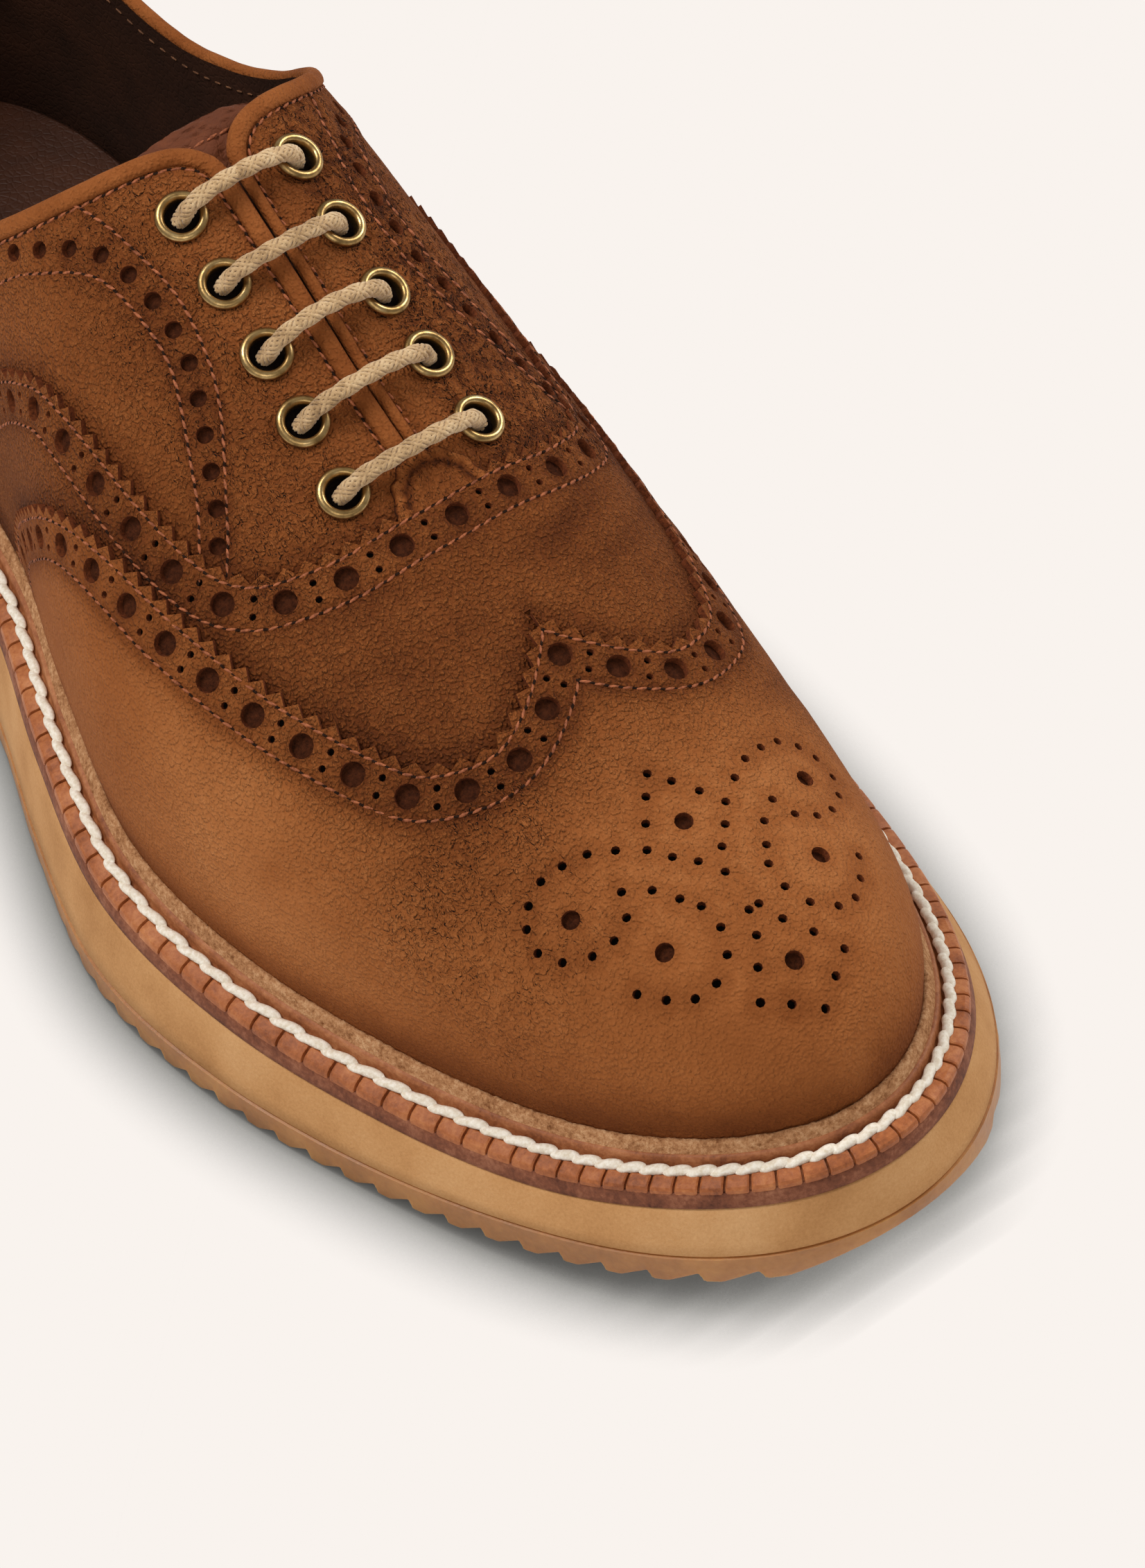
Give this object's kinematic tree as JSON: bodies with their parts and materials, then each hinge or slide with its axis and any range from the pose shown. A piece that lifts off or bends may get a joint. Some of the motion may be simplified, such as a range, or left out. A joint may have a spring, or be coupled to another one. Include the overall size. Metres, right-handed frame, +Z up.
{
  "type": "brogue shoe",
  "caption": "Right full-brogue oxford with wing cap, closed throat, brass eyelets, round lace bars, storm welt, foam wedge midsole and ripple tread.",
  "frame": {"origin": "centre of the bounding box at ground level, under the tread", "axes": "toe along -Y, the shoe's medial side along +X, +Z up"},
  "size_m": [0.1208, 0.309, 0.1154],
  "materials": {
    "gum_rubber": "semi-gloss honey gum",
    "beige_foam": "matt beige foam",
    "welt_leather": "waxed welt leather",
    "sock_leather": "smooth dark brown",
    "tan_nubuck": "tan nubuck with a fine nap",
    "tongue_leather": "grained brown leather",
    "lace_cotton": "round braided cotton",
    "aged_brass": "aged brass"
  },
  "bodies": {
    "root": {"outsole": "gum_rubber", "midsole": "beige_foam", "welt": "welt_leather", "insole": "sock_leather", "upper": "tan_nubuck", "tongue": "tongue_leather", "lace": "lace_cotton", "eyelet_lateral_1": "aged_brass", "eyelet_lateral_2": "aged_brass", "eyelet_lateral_3": "aged_brass", "eyelet_lateral_4": "aged_brass", "eyelet_lateral_5": "aged_brass", "eyelet_medial_1": "aged_brass", "eyelet_medial_2": "aged_brass", "eyelet_medial_3": "aged_brass", "eyelet_medial_4": "aged_brass", "eyelet_medial_5": "aged_brass"}
  },
  "joints": []
}
